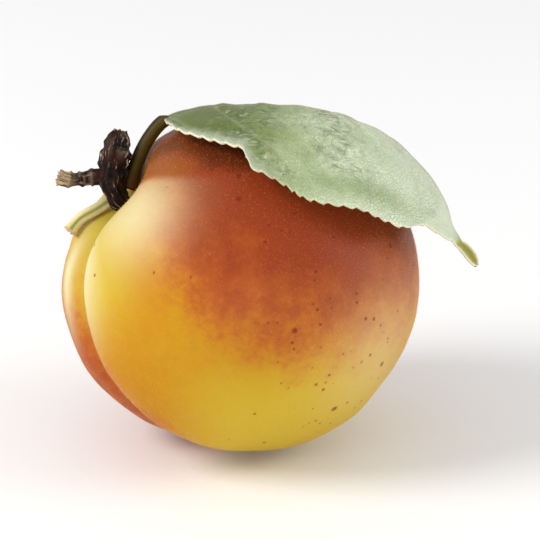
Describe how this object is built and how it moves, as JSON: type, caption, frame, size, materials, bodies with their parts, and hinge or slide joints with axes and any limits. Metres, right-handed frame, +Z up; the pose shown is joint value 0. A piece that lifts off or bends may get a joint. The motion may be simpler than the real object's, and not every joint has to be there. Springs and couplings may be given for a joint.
{
  "type": "apricot",
  "caption": "Ripe apricot as picked, with its suture groove and stem cavity, a woody spur stub, a toothed leaf lying over its shoulder and the stump of a leaf stalk.",
  "frame": {"origin": "middle of the small flat spot that the fruit rests on", "axes": "+Z up from the surface it rests on; +X to the right and -Y to the front, seen with the stem end at the upper left and the leaf over the top"},
  "size_m": [0.0559, 0.0448, 0.0468],
  "materials": {
    "skin": "velvety ripe skin, golden yellow with an orange-red blush and fine brown specks",
    "bark": "rough dark brown bark with pale streaks and ring scars",
    "leaf": "waxy grey-green with a soft gloss, pale veins and a cream toothed edge",
    "stalk": "pale yellow-cream with a green channel"
  },
  "bodies": {
    "root": {"fruit": "skin", "spur": "bark", "leaf": "leaf", "stalk_stump": "stalk"}
  },
  "joints": []
}
